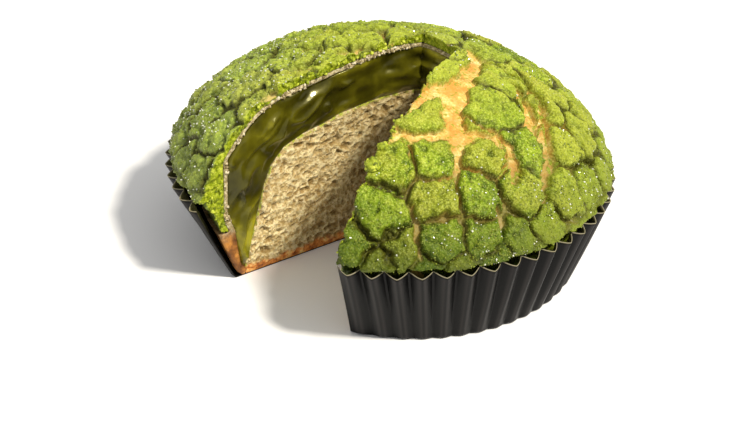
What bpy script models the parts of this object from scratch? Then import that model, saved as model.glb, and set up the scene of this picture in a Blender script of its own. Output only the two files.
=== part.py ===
"""A round green crackle-top bun in a fluted paper case, with one slice cut out of it.

Run with: blender --background --python part.py
Metres, +Z up. The origin is the centre of the case's base, on the surface that the bun stands on.
Azimuth is counted from -Y towards +X, so the cut opens between -57 and -11 degrees.
"""

import math
import random

import bmesh
import bpy
import numpy as np
from mathutils import Vector

MM = 0.001

# Paper case: a flat disc with a pleated wall that flares outwards
CASE_RIM_RADIUS = 50.0 * MM
CASE_BASE_RADIUS = 40.3 * MM
BASE_SHIFT = Vector((3.0, -2.0)) * MM
CASE_HEIGHT = 20.0 * MM
CASE_BEND_HEIGHT = 1.0 * MM
CASE_BEND_INSET = 1.2 * MM
PLEATS = 60
PLEAT_DEPTH_RIM = 2.0 * MM
PLEAT_DEPTH_BASE = 0.7 * MM
PLEAT_RISE = 0.7 * MM
FIRST_OUTER_STEP = 1
PAPER = 0.35 * MM

# Dome: a superellipse turned round the axis, from the waist up to the crown
DOME_RADIUS = 50.5 * MM
DOME_TOP = 48.0 * MM
DOME_WAIST = 17.0 * MM
DOME_POWER = 1.75
CRUST = 2.6 * MM
SKIN = 0.9 * MM
GAP = 0.3 * MM
CREAM_RADIUS = 41.6 * MM
SKIN_RADIUS = CREAM_RADIUS + SKIN
CRUST_FOOT = 12.5 * MM
BREAD_BASE = PAPER + GAP

# Crust plates beside the cut's right side, each as (azimuth, radius in mm) of its middle
SHOWN_PLATES = (
    (16.5, 22.4), (57.4, 25.8), (87.6, 24.1), (82.4, 12.5), (15.3, 32.5), (36.1, 34.0), (54.0, 36.5),
    (1.6, 34.0), (80.3, 33.0), (97.0, 34.5), (70.0, 39.7), (27.8, 40.9), (14.1, 40.6), (41.1, 42.7),
    (56.0, 45.4), (-1.6, 42.6), (84.0, 42.5), (97.0, 43.0), (14.4, 46.9), (25.6, 47.3), (36.0, 47.9),
    (46.5, 48.0), (3.2, 47.9), (-7.7, 47.9), (68.0, 47.4), (79.0, 48.2), (90.0, 48.2), (101.0, 48.2),
)
SHOWN_FROM = -14.0
SHOWN_TO = 104.0

# Crust plates elsewhere: rows, as (radius of the row, plates in it, azimuth of the first)
PLATE_ROWS = (
    (12.5 * MM, 5, 82.0),
    (24.5 * MM, 10, 16.5),
    (35.0 * MM, 19, 15.3),
    (42.0 * MM, 27, 1.0),
    (47.2 * MM, 33, 3.2),
    (50.3 * MM, 33, 8.6),
)
FOOT_ROW_RADIUS = 50.0 * MM
HIDDEN_ROW_HEIGHT = 7.0 * MM
HIDDEN_ROW_PLATES = 26
PLATE_RELIEF = 1.7 * MM
PLATE_BEVEL = 1.0 * MM
SHOULDER_EASE = 1.8 * MM
EASE_HEIGHT = 23.0 * MM
EASE_REACH = 5.0 * MM
PLATE_CROWN = 0.35 * MM
GROOVE = 0.9 * MM
GROOVE_OPEN = 3.4 * MM
OPEN_CENTRE = Vector((15 * MM, -14 * MM))
OPEN_REACH = 17 * MM
CORNER_MERGE = 1.8 * MM
ROW_WANDER = 1.2 * MM
AZIMUTH_WANDER = 0.2
PLATE_SEED = 7

# The cut: two upright planes and a short end wall, in plan
CUT_LEFT_OUT = Vector((-70.7, -53.2)) * MM
CUT_LEFT_END = Vector((5.6, 10.8)) * MM
CUT_RIGHT_END = Vector((13.4, 4.6)) * MM
CUT_RIGHT_OUT = Vector((-19.9, -70.2)) * MM

# Slump: beside the left cut the side has sunk in and the shoulder stands higher
SLUMP_AZIMUTH = -57.0
SLUMP_SPREAD = 28.0
SLUMP_INWARD = 0.015
SLUMP_HEIGHT = 20.0 * MM
SLUMP_REACH = 10.0 * MM
SHOULDER_LIFT = 4.0 * MM
SHOULDER_RADIUS = 33.0 * MM
SHOULDER_REACH = 12.0 * MM
SHOULDER_FROM = 12.0 * MM
SHOULDER_TO = 30.0 * MM

TURN_STEPS = 48
DOME_ROWS = 10
MERGE = 0.00001


def smooth_step(low, high, value):
    t = min(max((value - low) / (high - low), 0.0), 1.0)
    return t * t * (3.0 - 2.0 * t)


def dome_radius_at(height, inset):
    """Radius of the dome's surface at a height, for a surface that lies inset under the crown."""
    rise = max(height - DOME_WAIST, 0.0) / (DOME_TOP - inset - DOME_WAIST)
    return (DOME_RADIUS - inset) * max(1.0 - rise**DOME_POWER, 0.0) ** (1.0 / DOME_POWER)


def dome_height_at(radius):
    share = min(radius / DOME_RADIUS, 1.0)
    return DOME_WAIST + (DOME_TOP - DOME_WAIST) * (1.0 - share**DOME_POWER) ** (1.0 / DOME_POWER)


def case_room_at(height):
    """Largest radius at a height that stays clear of the pleats' inner folds, and opens out above the rim."""
    rim_height = CASE_HEIGHT + PLEAT_RISE
    base = CASE_BASE_RADIUS - PLEAT_DEPTH_BASE
    rim = CASE_RIM_RADIUS - PLEAT_DEPTH_RIM
    above_rim = 1.6 * max(height - rim_height, 0.0)
    share = (height - CASE_BEND_HEIGHT) / (rim_height - CASE_BEND_HEIGHT)
    return base + (rim - base) * share - PAPER - 1.5 * GAP + above_rim


def lean(point):
    """Below the rim everything leans: the case's base is off the rim's centre by the base shift."""
    share = 1.0 - min(point[2] / CASE_HEIGHT, 1.0)
    return Vector((point[0] + BASE_SHIFT.x * share, point[1] + BASE_SHIFT.y * share, point[2]))


def slump(point):
    """Moves a point of the bun by the sag beside the left cut and by the case's lean."""
    x, y, z = point
    radius = math.hypot(x, y)
    azimuth = math.degrees(math.atan2(x, -y))
    near = math.exp(-(((azimuth - SLUMP_AZIMUTH) / SLUMP_SPREAD) ** 2))
    waist = math.exp(-(((z - SLUMP_HEIGHT) / SLUMP_REACH) ** 2))
    shoulder = math.exp(-(((radius - SHOULDER_RADIUS) / SHOULDER_REACH) ** 2))
    shrink = 1.0 - SLUMP_INWARD * near * waist
    lift = SHOULDER_LIFT * near * shoulder * smooth_step(SHOULDER_FROM, SHOULDER_TO, z)
    return lean(Vector((x * shrink, y * shrink, z + lift)))


def slump_mesh(mesh):
    for vertex in mesh.vertices:
        vertex.co = slump(vertex.co)


def material(name, colour, roughness):
    made = bpy.data.materials.new(name)
    made.use_nodes = True
    shader = made.node_tree.nodes["Principled BSDF"]
    shader.inputs["Base Color"].default_value = (*colour, 1.0)
    shader.inputs["Roughness"].default_value = roughness
    shader.inputs["Metallic"].default_value = 0.0
    return made


def add_object(name, mesh, collection):
    made = bpy.data.objects.new(name, mesh)
    collection.objects.link(made)
    return made


def hide_as_cutter(cutter):
    cutter.hide_render = True
    cutter.display_type = "WIRE"


def turned(name, profile, collection):
    """A solid turned round Z from (radius, height) points that run down the outside, top to bottom."""
    line = bpy.data.meshes.new(name + "_profile")
    points = [(radius, 0.0, height) for radius, height in profile]
    line.from_pydata(points, [(i, i + 1) for i in range(len(points) - 1)], [])
    guide = add_object(name + "_profile", line, collection)
    screw = guide.modifiers.new("Turn", "SCREW")
    screw.steps = TURN_STEPS
    screw.render_steps = TURN_STEPS
    screw.use_merge_vertices = True
    screw.merge_threshold = MERGE
    screw.use_smooth_shade = True
    graph = bpy.context.evaluated_depsgraph_get()
    mesh = bpy.data.meshes.new_from_object(guide.evaluated_get(graph))
    bpy.data.objects.remove(guide)
    made = add_object(name, mesh, collection)
    slump_mesh(mesh)
    return made


def cut_with(target, cutter, name):
    boolean = target.modifiers.new(name, "BOOLEAN")
    boolean.operation = "DIFFERENCE"
    boolean.solver = "EXACT"
    boolean.object = cutter


def offset_line(points, distance):
    """The open line moved sideways by distance with mitred corners, towards its right as it runs on."""
    line = np.array(points)
    along = np.diff(line, axis=0)
    along /= np.linalg.norm(along, axis=1)[:, None]
    side = np.stack([along[:, 1], -along[:, 0]], axis=1)
    before = np.vstack([side[:1], side])
    after = np.vstack([side, side[-1:]])
    mitre = (before + after) / (1.0 + np.sum(before * after, axis=1))[:, None]
    moved = line + distance * mitre
    moved[line[:, 0] < MM / 100, 0] = 0.0
    return [tuple(point) for point in moved]


def dome_line(inset, lowest, steps):
    """(radius, height) down the dome's side from the crown to a height, tucked into the case."""
    top = DOME_TOP - inset
    line = [(0.0, top)]
    for step in range(1, steps + 1):
        turn = 0.5 * math.pi * step / steps
        height = lowest + (top - lowest) * math.cos(turn)
        ease = SHOULDER_EASE * math.exp(-(((height - EASE_HEIGHT) / EASE_REACH) ** 2))
        line.append((min(dome_radius_at(height, inset), case_room_at(height) - inset) - ease, height))
    return line


def held_in(line, most):
    """The line with its points past a radius drawn in to it, and a corner wherever it crosses that radius."""
    held = [line[0]]
    for before, after in zip(line, line[1:]):
        if (before[0] - most) * (after[0] - most) < 0.0:
            share = (most - before[0]) / (after[0] - before[0])
            held.append((most, before[1] + share * (after[1] - before[1])))
        held.append((min(after[0], most), after[1]))
    return held


def bread_profile():
    foot = CRUST_FOOT - GAP
    line = held_in(dome_line(CRUST + GAP, foot, DOME_ROWS), SKIN_RADIUS)
    line.append((case_room_at(foot), foot))
    line.append((case_room_at(6 * MM), 6 * MM))
    line.append((case_room_at(1.6 * MM), 1.6 * MM))
    line.append((case_room_at(1.6 * MM) - 2.2 * MM, BREAD_BASE))
    line.append((0.0, BREAD_BASE))
    return line


def cream_space_profile():
    """The hollow that the cream fills: under the skin on the way down, and over the crumb on the way back."""
    line = held_in(dome_line(CRUST + GAP + SKIN, 16.5 * MM, DOME_ROWS), CREAM_RADIUS)
    line += [(39.6 * MM, 12.2 * MM), (38.9 * MM, 8 * MM), (38.0 * MM, 3.6 * MM)]
    line += [(37.1 * MM, 2.4 * MM), (35.3 * MM, 8.6 * MM), (33.6 * MM, 14 * MM), (31.9 * MM, 19.4 * MM)]
    line += [(30.1 * MM, 22.8 * MM), (26.7 * MM, 26.1 * MM), (21.5 * MM, 29.2 * MM), (12 * MM, 32.6 * MM)]
    line.append((0.0, 34 * MM))
    return line


def cut_prism(collection):
    """The slice that is missing, as an upright prism that runs past the bun on all open sides."""
    cutter = bmesh.new()
    plan = (CUT_LEFT_OUT, CUT_LEFT_END, CUT_RIGHT_END, CUT_RIGHT_OUT)
    corners = [cutter.verts.new((point.x, point.y, -10 * MM)) for point in plan]
    base = cutter.faces.new(corners)
    made = bmesh.ops.extrude_face_region(cutter, geom=[base])
    raised = [item for item in made["geom"] if isinstance(item, bmesh.types.BMVert)]
    bmesh.ops.translate(cutter, verts=raised, vec=(0.0, 0.0, 75 * MM))
    bmesh.ops.recalc_face_normals(cutter, faces=cutter.faces[:])
    mesh = bpy.data.meshes.new("cut_prism")
    cutter.to_mesh(mesh)
    cutter.free()
    made = add_object("cut_prism", mesh, collection)
    hide_as_cutter(made)
    return made


def paper_case(collection, cut):
    """A disc whose edge is extruded upwards twice, into the bend and the pleated wall, then given its thickness."""
    shell = bmesh.new()
    bmesh.ops.create_circle(shell, cap_ends=True, segments=2 * PLEATS, radius=CASE_BASE_RADIUS)
    rings = (
        (CASE_BASE_RADIUS - CASE_BEND_INSET, 0.0, PLEAT_DEPTH_BASE * 0.4, 0.0),
        (CASE_BASE_RADIUS, CASE_BEND_HEIGHT, PLEAT_DEPTH_BASE, 0.0),
        (CASE_RIM_RADIUS, CASE_HEIGHT, PLEAT_DEPTH_RIM, PLEAT_RISE),
    )

    def place(vertices, radius, height, depth, rise):
        for vertex in vertices:
            turn = math.atan2(vertex.co.y, vertex.co.x)
            inner = (round(turn * PLEATS / math.pi) - FIRST_OUTER_STEP) % 2
            away = radius - depth * inner
            vertex.co = (away * math.cos(turn), away * math.sin(turn), height + rise * inner)

    place(shell.verts, *rings[0])
    edge = [item for item in shell.edges if item.is_boundary]
    for ring in rings[1:]:
        made = bmesh.ops.extrude_edge_only(shell, edges=edge)["geom"]
        place([item for item in made if isinstance(item, bmesh.types.BMVert)], *ring)
        edge = [item for item in made if isinstance(item, bmesh.types.BMEdge) and item.is_boundary]
    for vertex in shell.verts:
        vertex.co = lean(vertex.co)
    bmesh.ops.recalc_face_normals(shell, faces=shell.faces[:])
    mesh = bpy.data.meshes.new("paper_case")
    shell.to_mesh(mesh)
    shell.free()
    case = add_object("paper_case", mesh, collection)
    thick = case.modifiers.new("Paper", "SOLIDIFY")
    thick.thickness = PAPER
    thick.offset = 1.0 if mesh.polygons[0].normal.z > 0 else -1.0
    cut_with(case, cut, "Slice")
    case.data.materials.append(material("paper", (0.028, 0.026, 0.027), 0.55))
    return case


def plate_directions():
    """Unit directions from the waist's centre to the plates' centres, then those of cells that stay plain."""
    rng = random.Random(PLATE_SEED)

    def direction(radius, height, azimuth):
        turn = math.radians(azimuth)
        away = Vector((radius * math.sin(turn), -radius * math.cos(turn), height - DOME_WAIST))
        return away.normalized()

    plates = []
    for azimuth, radius in SHOWN_PLATES:
        plates.append(direction(radius * MM, dome_height_at(radius * MM), azimuth))
    for radius, count, first in PLATE_ROWS:
        for index in range(count):
            azimuth = first + (index + rng.uniform(-AZIMUTH_WANDER, AZIMUTH_WANDER)) * 360 / count
            away = min(radius + rng.uniform(-ROW_WANDER, ROW_WANDER), DOME_RADIUS - 0.1 * MM)
            shown = SHOWN_FROM < (azimuth + 90) % 360 - 90 < SHOWN_TO
            if shown and radius < FOOT_ROW_RADIUS:
                continue
            plates.append(direction(away, dome_height_at(away), azimuth))
    plain = []
    for index in range(HIDDEN_ROW_PLATES):
        plain.append(direction(DOME_RADIUS, HIDDEN_ROW_HEIGHT, index * 360 / HIDDEN_ROW_PLATES))
    plain.append(Vector((0.0, 0.0, -1.0)))
    return plates, plain


def dome_point(direction, inset):
    """Where a ray from the waist's centre meets the dome, or a plain barrel below the waist."""
    flat = math.hypot(direction.x, direction.y)
    up = direction.z
    radius = DOME_RADIUS - inset
    if up > 0.0:
        scaled = (flat / radius) ** DOME_POWER + (up / (DOME_TOP - inset - DOME_WAIST)) ** DOME_POWER
        reach = scaled ** (-1.0 / DOME_POWER)
    else:
        reach = min(radius / max(flat, 1e-6), (DOME_WAIST - 2 * MM) / max(-up, 1e-6))
    return direction * reach + Vector((0.0, 0.0, DOME_WAIST))


def tuck_into_case(point):
    share = min(case_room_at(point.z) / (dome_radius_at(point.z, 0.0) + PLATE_CROWN), 1.0)
    point.x *= share
    point.y *= share


def raise_plate(form, cell):
    """Insets the cell twice towards its centre: over the groove's half width, then up the plate's bevel."""
    centre = cell.calc_center_median()
    up = cell.normal.copy()
    half_width = min(((edge.verts[0].co + edge.verts[1].co) / 2 - centre).length for edge in cell.edges)
    open_share = math.exp(-(((centre.xy - OPEN_CENTRE).length / OPEN_REACH) ** 2))
    groove = 0.5 * (GROOVE + (GROOVE_OPEN - GROOVE) * open_share)
    for inward, rise in ((groove, 0.0), (PLATE_BEVEL, PLATE_RELIEF)):
        bmesh.ops.inset_individual(form, faces=[cell], thickness=0.0, depth=0.0)
        share = max(1.0 - inward / half_width, 0.3)
        for vertex in cell.verts:
            vertex.co = centre + (vertex.co - centre) * share
        half_width *= share
        centre += up * rise
        for vertex in cell.verts:
            vertex.co += up * rise
    bmesh.ops.poke(form, faces=[cell], offset=PLATE_CROWN)


def crackle_form():
    """A closed dome whose faces are the cells round the plate directions, with a plate raised in each cell."""
    plates, plain = plate_directions()
    hull = bmesh.new()
    for direction in plates + plain:
        hull.verts.new(direction)
    hull.verts.ensure_lookup_table()
    bmesh.ops.convex_hull(hull, input=hull.verts[:])
    bmesh.ops.triangulate(hull, faces=hull.faces[:])
    hull.normal_update()
    hull.faces.index_update()

    form = bmesh.new()
    corners = [form.verts.new(dome_point(face.normal, PLATE_RELIEF)) for face in hull.faces]
    cells = []
    for vertex in hull.verts:
        across = vertex.co.orthogonal().normalized()
        beside = vertex.co.cross(across)

        def bearing(face):
            return math.atan2(face.normal.dot(beside), face.normal.dot(across))

        ring = sorted(vertex.link_faces, key=bearing)
        cells.append(form.faces.new([corners[face.index] for face in ring]))
    raised = cells[: len(plates)]
    hull.free()
    bmesh.ops.remove_doubles(form, verts=form.verts[:], dist=CORNER_MERGE)
    bmesh.ops.recalc_face_normals(form, faces=form.faces[:])
    for cell in raised:
        if not cell.is_valid:
            continue
        raise_plate(form, cell)
    for vertex in form.verts:
        tuck_into_case(vertex.co)
    return form


def cookie_crust(collection, cutters, cut):
    form = crackle_form()
    mesh = bpy.data.meshes.new("cookie_crust")
    form.to_mesh(mesh)
    form.free()
    slump_mesh(mesh)
    crust = add_object("cookie_crust", mesh, collection)

    bread_line = held_in(dome_line(CRUST + GAP, CRUST_FOOT - GAP, DOME_ROWS), SKIN_RADIUS)
    inner_line = offset_line(bread_line, -GAP)
    inner_line[-1] = (case_room_at(CRUST_FOOT - GAP) - CRUST, CRUST_FOOT - GAP)
    inner_line.append((inner_line[-1][0], -5 * MM))
    inner_line.append((0.0, -5 * MM))
    inner = turned("crust_inside", inner_line, cutters)
    hide_as_cutter(inner)
    cut_with(crust, inner, "Inside")

    bpy.ops.mesh.primitive_cube_add(size=1.0)
    slab = bpy.context.object
    slab.name = "crust_foot"
    slab.scale = (160 * MM, 160 * MM, 40 * MM)
    slab.location = (0.0, 0.0, CRUST_FOOT - 20 * MM)
    for holder in slab.users_collection:
        holder.objects.unlink(slab)
    cutters.objects.link(slab)
    hide_as_cutter(slab)
    cut_with(crust, slab, "Foot")
    cut_with(crust, cut, "Slice")
    crust.data.materials.append(material("cookie", (0.24, 0.30, 0.045), 0.7))
    return crust


def bread_body(collection, cutters, cut):
    bread = turned("bread", bread_profile(), collection)
    space = turned("cream_space", cream_space_profile(), cutters)
    hide_as_cutter(space)
    cut_with(bread, space, "Cream space")
    cut_with(bread, cut, "Slice")
    bread.data.materials.append(material("crumb", (0.52, 0.40, 0.19), 0.85))
    return bread


def cream_layer(collection, cut):
    cream = turned("cream", offset_line(cream_space_profile(), GAP), collection)
    cut_with(cream, cut, "Slice")
    cream.data.materials.append(material("cream", (0.13, 0.13, 0.022), 0.25))
    return cream


def main():
    for old in list(bpy.data.objects):
        bpy.data.objects.remove(old)
    bun = bpy.data.collections.new("bun")
    cutters = bpy.data.collections.new("cutters")
    for collection in (bun, cutters):
        bpy.context.scene.collection.children.link(collection)
    cut = cut_prism(cutters)
    paper_case(bun, cut)
    bread_body(bun, cutters, cut)
    cream_layer(bun, cut)
    cookie_crust(bun, cutters, cut)


main()
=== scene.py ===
import math
import random

import bpy
import numpy as np
from mathutils import Matrix, Vector


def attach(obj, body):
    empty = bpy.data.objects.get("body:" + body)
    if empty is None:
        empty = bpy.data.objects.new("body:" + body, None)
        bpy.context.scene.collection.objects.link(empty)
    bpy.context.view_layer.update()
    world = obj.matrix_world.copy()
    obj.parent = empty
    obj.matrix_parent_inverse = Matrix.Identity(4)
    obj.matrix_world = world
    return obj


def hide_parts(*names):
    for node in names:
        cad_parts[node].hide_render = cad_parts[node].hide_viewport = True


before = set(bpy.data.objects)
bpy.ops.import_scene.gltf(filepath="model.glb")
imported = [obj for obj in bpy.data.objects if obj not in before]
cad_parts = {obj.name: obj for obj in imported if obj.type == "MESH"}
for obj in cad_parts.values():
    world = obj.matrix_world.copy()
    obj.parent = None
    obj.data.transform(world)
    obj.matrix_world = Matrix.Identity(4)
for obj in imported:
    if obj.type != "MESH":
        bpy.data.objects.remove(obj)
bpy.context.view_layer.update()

mm = 0.001

# Sizes of the bun in millimetres; its side tucks in more sharply and hangs further over the rim than the
# solids' side does
bun = {
    "domeRadius": 50.5,
    "domeTop": 48.0,
    "waist": 17.0,
    "sideBelow": 34.0,
    "power": 1.75,
    "crustThick": 2.6,
    "skinThick": 0.9,
    "creamRadius": 41.6,
    "creamFoot": 16.5,
    "crustFoot": 12.5,
    "rimRadius": 50.0,
    "rimHeight": 20.0,
    "baseRadius": 40.3,
    "baseShift": (3.0, -2.0),
    "pleats": 60,
    "pleatRim": 2.0,
    "pleatBase": 0.7,
    "pleatRise": 0.7,
    "paper": 0.35,
    "roomGap": 0.35,
    "tuckSoftness": 1.0,
    "overhang": 3.4,
    "slumpAzimuth": -57.0,
    "slumpSpread": 28.0,
    "slumpInward": 0.015,
    "slumpHeight": 20.0,
    "slumpReach": 10.0,
    "shoulderLift": 4.0,
    "shoulderRadius": 33.0,
    "shoulderReach": 12.0,
}

# The cut in plan, millimetres: left wall, short end wall, right wall
cut = {
    "leftEnd": np.array([5.6, 10.8]),
    "rightEnd": np.array([13.4, 4.6]),
    "leftOut": np.array([-70.7, -53.2]),
    "rightOut": np.array([-19.9, -70.2]),
    "backFrom": 128.5,  # the end wall's own line, as azimuths to its left and right
    "backTo": 308.5,
    "corner": 0.04,  # how far along the end wall the rays that look back past a corner start
}


def smoothStep(low, high, value):
    # cubic ease from 0 at low to 1 at high
    t = np.clip((value - low) / (high - low), 0.0, 1.0)
    return t * t * (3.0 - 2.0 * t)


def hashCells(cells, seed):
    # a whole-number hash of each lattice cell, spread to 0..1
    n = cells[..., 0] * 73856093 ^ cells[..., 1] * 19349663 ^ cells[..., 2] * 83492791
    n = n ^ (seed * 2654435761 & 0x7FFFFFFF)
    n = (n ^ (n >> 13)) * 1274126177 & 0x7FFFFFFF
    n = (n ^ (n >> 15)) * 1103515245 & 0x7FFFFFFF
    return (n & 0xFFFFFF) / float(0xFFFFFF)


def softNoise(points, size, seed):
    # value noise: eased blend of the hashes at a lattice cell's eight corners, -1..1
    p = points / size
    cell = np.floor(p).astype(np.int64)
    f = p - cell
    f = f * f * (3.0 - 2.0 * f)
    total = np.zeros(points.shape[:-1])
    for corner in np.ndindex(2, 2, 2):
        offset = np.array(corner)
        weight = np.prod(np.where(offset == 1, f, 1.0 - f), axis=-1)
        total += weight * hashCells(cell + offset, seed)
    return total * 2.0 - 1.0


def layeredNoise(points, size, seed, layers=3, fall=0.5):
    # sum of soft noises, each half the size and fall times the strength of the one before
    total, strength, norm = np.zeros(points.shape[:-1]), 1.0, 0.0
    for layer in range(layers):
        total += strength * softNoise(points, size / 2**layer, seed + 17 * layer)
        norm += strength
        strength *= fall
    return total / norm


def cellNoise(points, size, seed):
    # distances to the nearest and second nearest of one random point per lattice cell, in cell sizes,
    # and the nearest cell's hash
    p = points / size
    cell = np.floor(p).astype(np.int64)
    near = np.full(points.shape[:-1], 9.0)
    second = np.full(points.shape[:-1], 9.0)
    tag = np.zeros(points.shape[:-1])
    for corner in np.ndindex(3, 3, 3):
        here = cell + np.array(corner) - 1
        spot = here + np.stack([hashCells(here, seed + step) for step in (0, 101, 202)], axis=-1)
        away = np.linalg.norm(p - spot, axis=-1)
        closer = away < near
        second = np.where(closer, near, np.minimum(second, away))
        tag = np.where(closer, hashCells(here, seed + 303), tag)
        near = np.where(closer, away, near)
    return near, second, tag


def wander(points, size, seed, layers=1):
    # three soft noises side by side, as an offset in millimetres
    return np.stack([layeredNoise(points, size, seed + step, layers) for step in (0, 1, 2)], axis=-1)


def domeRadius(height, inset):
    # superellipse side: radius at a height, for a surface that lies inset under the crown
    rise = np.clip((height - bun["waist"]) / (bun["domeTop"] - inset - bun["waist"]), 0.0, 1.0)
    return (bun["domeRadius"] - inset) * (1.0 - rise ** bun["power"]) ** (1.0 / bun["power"])


def domeHeight(radius, inset):
    # the same superellipse read the other way
    share = np.clip(radius / (bun["domeRadius"] - inset), 0.0, 1.0)
    top = bun["domeTop"] - inset - bun["waist"]
    return bun["waist"] + top * (1.0 - share ** bun["power"]) ** (1.0 / bun["power"])


def roomRadius(height):
    # the case's inner folds: a cone up to the rim, which opens out above it
    rim = bun["rimHeight"] + bun["pleatRise"]
    base, top = bun["baseRadius"] - bun["pleatBase"], bun["rimRadius"] - bun["pleatRim"]
    above = bun["overhang"] * np.maximum(height - rim, 0.0)
    return base + (top - base) * (height - 1.0) / (rim - 1.0) - bun["paper"] - bun["roomGap"] + above


def sideRadius(height, inset):
    # the bun's side: the lesser of dome and room in the case, blended softly where they cross
    dome, room = domeRadius(height, inset), roomRadius(height) - inset
    return 0.5 * (dome + room - np.sqrt((dome - room) ** 2 + bun["tuckSoftness"]))


def leanAndSlump(points):
    # sinks the side in beside the left cut, lifts the shoulder there and shifts the base with the case
    x, y, z = points[..., 0], points[..., 1], points[..., 2]
    radius = np.hypot(x, y)
    azimuth = np.degrees(np.arctan2(x, -y))
    near = np.exp(-(((azimuth - bun["slumpAzimuth"]) / bun["slumpSpread"]) ** 2))
    waist = np.exp(-(((z - bun["slumpHeight"]) / bun["slumpReach"]) ** 2))
    shoulder = np.exp(-(((radius - bun["shoulderRadius"]) / bun["shoulderReach"]) ** 2))
    shrink = 1.0 - bun["slumpInward"] * near * waist
    height = z + bun["shoulderLift"] * near * shoulder * smoothStep(12.0, 30.0, z)
    return lean(np.stack([x * shrink, y * shrink, height], axis=-1))


def lean(points):
    # below the rim everything shifts with the case's base
    share = 1.0 - np.clip(points[..., 2] / bun["rimHeight"], 0.0, 1.0)
    return points + np.stack([bun["baseShift"][0] * share, bun["baseShift"][1] * share, 0.0 * share], axis=-1)


def unit(vectors):
    return vectors / np.maximum(np.linalg.norm(vectors, axis=-1, keepdims=True), 1e-12)


leftAlong = unit(cut["leftOut"] - cut["leftEnd"])
rightAlong = unit(cut["rightOut"] - cut["rightEnd"])
endMiddle = 0.5 * (cut["leftEnd"] + cut["rightEnd"])


def crossAzimuth(start, along):
    # azimuth, from -Y towards +X, where a plan line crosses the rim's circle
    inner = start @ along
    reach = -inner + math.sqrt(inner * inner - start @ start + bun["rimRadius"] ** 2)
    out = start + along * reach
    return math.degrees(math.atan2(out[0], -out[1]))


def rayFan(count, front=None):
    # plan lines that fan out from the cut's end wall round the back, from the left cut to the right one:
    # start points, directions and azimuths on the rim; front packs a share of them into the last degrees
    first = crossAzimuth(cut["leftEnd"], leftAlong)
    last = crossAzimuth(cut["rightEnd"], rightAlong) - 360.0
    azimuth = np.linspace(first, last, count)
    if front:
        bend = last + front["degrees"]
        back = int(count * (1.0 - front["share"]))
        behind = np.linspace(first, bend, back, endpoint=False)
        azimuth = np.concatenate([behind, np.linspace(bend, last, count - back)])
    # rays that look back past a corner start close to it, so that none runs out into the cut
    facing = [-first, cut["backFrom"], cut["backTo"], -last]
    share = np.interp(-azimuth, facing, [0.0, cut["corner"], 1.0 - cut["corner"], 1.0])
    start = cut["leftEnd"] + (cut["rightEnd"] - cut["leftEnd"]) * share[:, None]
    turn = np.radians(azimuth)
    out = bun["rimRadius"] * np.stack([np.sin(turn), -np.cos(turn)], axis=-1)
    return start, unit(out - start), azimuth


def alongRays(start, along, radius, share=1.0):
    # the point of each ray at a share of its way out to a radius
    inner = np.sum(start * along, axis=-1)[:, None]
    square = np.sum(start * start, axis=-1)[:, None]
    reach = -inner + np.sqrt(np.maximum(inner**2 - square + radius**2, 0.0))
    return start[:, None, :] + along[:, None, :] * (reach * share)[..., None]


def sheetOf(start, along, profileRadius, profileHeight, split, topRows):
    # a grid rays x rows: plan steps out to the split radius with heights read from the profile, then the
    # profile itself
    order = np.argmax(profileRadius >= split)
    steps = np.linspace(0.0, 1.0, topRows, endpoint=False)[None, :]
    plan = alongRays(start, along, profileRadius[order], steps)
    radius = np.linalg.norm(plan, axis=-1)
    height = np.interp(radius, profileRadius[: order + 1], profileHeight[: order + 1])
    top = np.concatenate([plan, height[..., None]], axis=-1)
    sideRadii = profileRadius[order:]
    widest = np.maximum.accumulate(sideRadii)
    sidePlan = unit(alongRays(start, along, np.maximum(widest, 5.0)[None, :])) * sideRadii[None, :, None]
    sideHeight = np.broadcast_to(profileHeight[order:], sidePlan.shape[:2])
    return np.concatenate([top, np.concatenate([sidePlan, sideHeight[..., None]], axis=-1)], axis=1)


def lengthAlong(line):
    # distance of each point of a line from its start
    return np.concatenate([[0.0], np.cumsum(np.linalg.norm(np.diff(line, axis=0), axis=1))])


def evenProfile(points, split, sideRows):
    # a profile resampled: finely inside the split radius, and in sideRows even steps of length past it
    line = np.array(points, dtype=float)
    length = lengthAlong(line)
    dense = np.linspace(0.0, length[-1], 1500)
    radius = np.interp(dense, length, line[:, 0])
    height = np.interp(dense, length, line[:, 1])
    order = np.argmax(radius >= split)
    rest = np.linspace(dense[order], dense[-1], sideRows)
    return (
        np.concatenate([radius[:order], np.interp(rest, dense, radius)]),
        np.concatenate([height[:order], np.interp(rest, dense, height)]),
    )


def snapToCuts(grid, reach=6.0, ragged=0.0):
    # moves the first and last rays into the cut planes, less a ragged noise, and the rays beside them by
    # less; the reach stays over twice the distance moved, so that no ray passes another
    for row, base, along, order in ((0, cut["leftEnd"], leftAlong, 1), (-1, cut["rightEnd"], rightAlong, -1)):
        across = np.array([-along[1], along[0]])
        off = (grid[row, :, :2] - base) @ across
        if ragged:
            fromCorner = (grid[row, :, :2] - base) @ along
            off = off - ragged * layeredNoise(grid[row], 2.2, 611, 3, 0.7) * smoothStep(1.0, 6.0, fromCorner)
        steps = np.cumsum(np.linalg.norm(np.diff(grid[::order, :, :2], axis=0), axis=-1), axis=0)
        steps = np.concatenate([np.zeros((1, grid.shape[1])), steps], axis=0)[::order]
        fade = np.exp(-((steps / reach) ** 2))
        grid[..., :2] -= (off[None, :] * fade)[..., None] * across
    return grid


def gridNormals(grid):
    # cross product of the grid's two directions of change
    down = np.gradient(grid, axis=1)
    around = np.gradient(grid, axis=0)
    return unit(np.cross(down, around))


def outwardNormals(grid):
    # grid normals, turned to point away from a place low inside the bun
    normals = gridNormals(grid)
    return normals * np.sign(np.mean(np.sum(normals * (grid - [0, 0, 10.0]), axis=-1)))


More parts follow.
